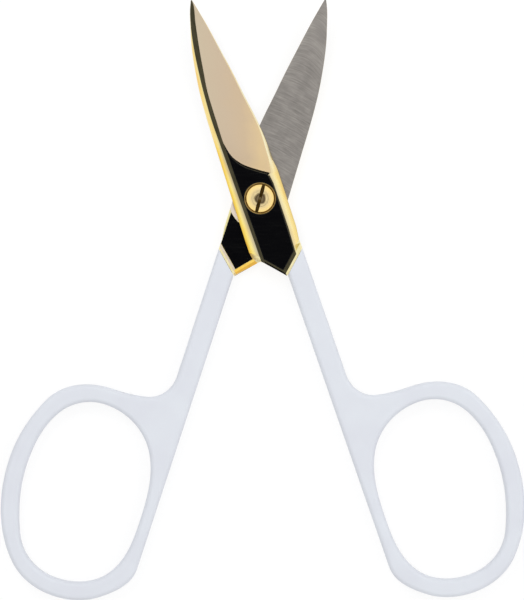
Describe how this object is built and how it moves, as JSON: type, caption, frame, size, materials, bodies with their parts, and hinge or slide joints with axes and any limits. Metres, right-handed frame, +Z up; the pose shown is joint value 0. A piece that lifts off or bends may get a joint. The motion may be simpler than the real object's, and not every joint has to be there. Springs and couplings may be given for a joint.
{
  "type": "nail scissors",
  "caption": "Open nail scissors lying flat: pointed gold-plated blades with lacquered joint plates and white-coated finger rings, turning on a slotted pivot screw.",
  "frame": {"origin": "centre of the footprint on the surface the scissors lie on, at rest and open as pictured", "axes": "+Y along the scissors towards the blade tips, +Z up out of the surface they lie on, +X to the right seen from above"},
  "size_m": [0.0724, 0.0828, 0.0044],
  "materials": {
    "gold_steel": "gold-coloured plating on steel: satin ground blade, polished bevels",
    "gold_screw": "gold-coloured plating, turned and polished",
    "white_coat": "satin white coat",
    "black_lacquer": "gloss black lacquer"
  },
  "bodies": {
    "rear": {"rear_half": "gold_steel", "rear_handle_coat": "white_coat", "rear_lacquer": "black_lacquer", "rear_inner_lacquer": "black_lacquer", "pivot_screw": "gold_screw"},
    "front": {"front_half": "gold_steel", "front_handle_coat": "white_coat", "front_lacquer": "black_lacquer", "front_inner_lacquer": "black_lacquer"}
  },
  "joints": [
    {"name": "blade_pivot", "type": "hinge", "parent": "rear", "child": "front", "pos_m": [0, 0.01397, 0.00153], "axis": [0, 0, 1], "range_deg": [-37, 60]}
  ]
}
